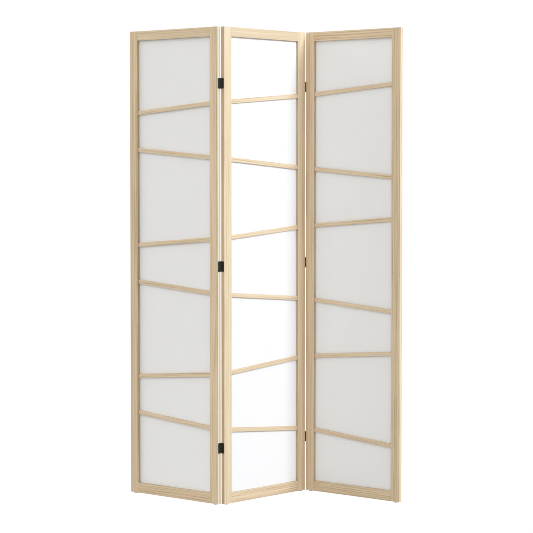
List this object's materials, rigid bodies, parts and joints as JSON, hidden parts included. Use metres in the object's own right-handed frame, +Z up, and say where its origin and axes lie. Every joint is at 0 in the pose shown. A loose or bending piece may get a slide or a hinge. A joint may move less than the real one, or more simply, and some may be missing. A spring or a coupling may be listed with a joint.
{
  "type": "folding privacy screen",
  "caption": "Folding room divider of wooden frames with pale translucent sheets and sloping slats, joined by small black butt hinges and standing in a zigzag on foot pads.",
  "frame": {"origin": "on the floor, under the middle of the middle panel", "axes": "+X along the zigzag from the left panel to the right one, +Y to the back, +Z up"},
  "size_m": [1.0278, 0.3134, 1.8],
  "materials": {
    "frame_wood": "pale straight-grained softwood, clear matt finish",
    "slat_wood": "pale straight-grained softwood, clear matt finish",
    "bead_wood": "pale straight-grained softwood, clear matt finish",
    "dowel_wood": "plain hardwood, unfinished",
    "sheet": "white laminated paper, matt and faintly fibrous",
    "hinge_black": "satin black",
    "hinge_pin": "satin black",
    "hinge_screw": "satin black, slotted head",
    "foot_pad": "pale grey"
  },
  "bodies": {
    "middle_panel": {"left_fold_centre_hinge_middle_leaf": "hinge_black", "left_fold_hinge_pins": "hinge_pin", "left_fold_lower_hinge_middle_leaf": "hinge_black", "left_fold_upper_hinge_middle_leaf": "hinge_black", "middle_panel_beads": "bead_wood", "middle_panel_bottom_rail": "frame_wood", "middle_panel_dowels": "dowel_wood", "middle_panel_feet": "foot_pad", "middle_panel_hinge_screws": "hinge_screw", "middle_panel_left_stile": "frame_wood", "middle_panel_right_stile": "frame_wood", "middle_panel_sheet": "sheet", "middle_panel_slat_1": "slat_wood", "middle_panel_slat_2": "slat_wood", "middle_panel_slat_3": "slat_wood", "middle_panel_slat_4": "slat_wood", "middle_panel_slat_5": "slat_wood", "middle_panel_slat_6": "slat_wood", "middle_panel_top_rail": "frame_wood", "right_fold_centre_hinge_middle_leaf": "hinge_black", "right_fold_hinge_pins": "hinge_pin", "right_fold_lower_hinge_middle_leaf": "hinge_black", "right_fold_upper_hinge_middle_leaf": "hinge_black"},
    "left_panel": {"left_fold_centre_hinge_outer_leaf": "hinge_black", "left_fold_lower_hinge_outer_leaf": "hinge_black", "left_fold_upper_hinge_outer_leaf": "hinge_black", "left_panel_beads": "bead_wood", "left_panel_bottom_rail": "frame_wood", "left_panel_dowels": "dowel_wood", "left_panel_feet": "foot_pad", "left_panel_hinge_screws": "hinge_screw", "left_panel_left_stile": "frame_wood", "left_panel_right_stile": "frame_wood", "left_panel_sheet": "sheet", "left_panel_slat_1": "slat_wood", "left_panel_slat_2": "slat_wood", "left_panel_slat_3": "slat_wood", "left_panel_slat_4": "slat_wood", "left_panel_slat_5": "slat_wood", "left_panel_slat_6": "slat_wood", "left_panel_top_rail": "frame_wood"},
    "right_panel": {"right_fold_centre_hinge_outer_leaf": "hinge_black", "right_fold_lower_hinge_outer_leaf": "hinge_black", "right_fold_upper_hinge_outer_leaf": "hinge_black", "right_panel_beads": "bead_wood", "right_panel_bottom_rail": "frame_wood", "right_panel_dowels": "dowel_wood", "right_panel_feet": "foot_pad", "right_panel_hinge_screws": "hinge_screw", "right_panel_left_stile": "frame_wood", "right_panel_right_stile": "frame_wood", "right_panel_sheet": "sheet", "right_panel_slat_1": "slat_wood", "right_panel_slat_2": "slat_wood", "right_panel_slat_3": "slat_wood", "right_panel_slat_4": "slat_wood", "right_panel_slat_5": "slat_wood", "right_panel_slat_6": "slat_wood", "right_panel_top_rail": "frame_wood"}
  },
  "joints": [
    {"name": "left_fold", "type": "hinge", "parent": "middle_panel", "child": "left_panel", "pos_m": [-0.17189, -0.1464, 0.9015], "axis": [0, 0, 1], "range_deg": [-95.2, 84.8]},
    {"name": "right_fold", "type": "hinge", "parent": "middle_panel", "child": "right_panel", "pos_m": [0.17189, 0.1464, 0.9015], "axis": [0, 0, 1], "range_deg": [-95.2, 84.8]}
  ]
}
